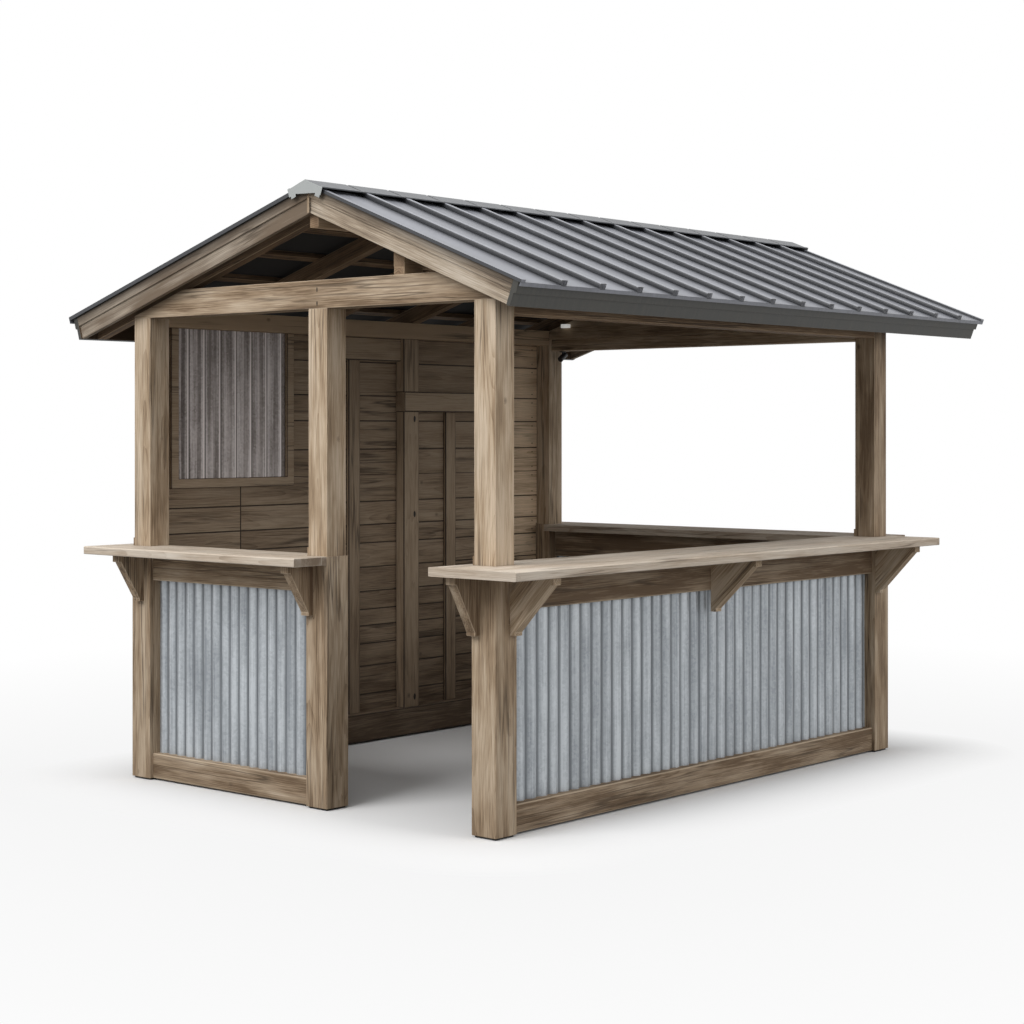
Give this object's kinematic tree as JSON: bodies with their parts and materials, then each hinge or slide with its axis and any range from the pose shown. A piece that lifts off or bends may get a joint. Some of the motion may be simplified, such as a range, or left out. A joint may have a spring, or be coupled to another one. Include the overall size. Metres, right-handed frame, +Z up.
{
  "type": "garden bar",
  "caption": "Open timber garden bar with cased posts, serving counters over corrugated cladding, one boarded wall, an open doorway and a standing-seam gable roof.",
  "frame": {"origin": "on the ground, under the middle of the whole building's outline", "axes": "+Z up, Y along the ridge with the doorway gable facing -Y, +X towards the long serving side"},
  "size_m": [2.8834, 3.837, 2.6506],
  "materials": {
    "frame_timber": "weathered, sawn and oiled",
    "counter_timber": "weathered, smoothed by use",
    "wall_timber": "dark weathered boards",
    "roof_timber": "dark sawn framing",
    "galvanised_sheet": "galvanised, dull spangle",
    "shutter_sheet": "galvanised, aged",
    "roof_sheet": "satin graphite coating",
    "fascia_metal": "satin dark coating",
    "ridge_metal": "satin grey coating",
    "foot_steel": "black painted plate",
    "lamp_white": "white moulded cover",
    "lamp_black": "black powder coat"
  },
  "bodies": {
    "root": {"back_apron": "frame_timber", "back_bottom_rail": "frame_timber", "back_brackets": "frame_timber", "back_cladding": "galvanised_sheet", "back_counter": "counter_timber", "back_left_barge": "frame_timber", "back_lintel": "frame_timber", "back_right_barge": "frame_timber", "back_tie_beam": "frame_timber", "front_apron": "frame_timber", "front_bottom_rail": "frame_timber", "front_brackets": "frame_timber", "front_cladding": "galvanised_sheet", "front_counter": "counter_timber", "front_left_barge": "frame_timber", "front_right_barge": "frame_timber", "front_tie_beam": "frame_timber", "hatch_sheet": "shutter_sheet", "hatch_trim": "wall_timber", "left_fascia": "fascia_metal", "left_rafters": "roof_timber", "left_roof_battens": "roof_timber", "left_roof_sheet": "roof_sheet", "left_top_plate": "roof_timber", "long_apron": "frame_timber", "long_bottom_rail": "frame_timber", "long_brackets": "frame_timber", "long_cladding": "galvanised_sheet", "long_counter": "counter_timber", "post_back_left": "frame_timber", "post_back_right": "frame_timber", "post_casings": "frame_timber", "post_door": "frame_timber", "post_feet": "foot_steel", "post_front_left": "frame_timber", "post_front_right": "frame_timber", "puck_light": "lamp_white", "purlin": "roof_timber", "purlin_struts": "roof_timber", "ridge_beam": "roof_timber", "ridge_cap": "ridge_metal", "right_fascia": "fascia_metal", "right_rafters": "roof_timber", "right_roof_battens": "roof_timber", "right_roof_sheet": "roof_sheet", "right_top_plate": "roof_timber", "spotlight": "lamp_black", "wall_battens": "wall_timber", "wall_boarding": "wall_timber", "wall_headers": "wall_timber", "wall_sole_plate": "wall_timber", "wall_stud": "wall_timber"}
  },
  "joints": []
}
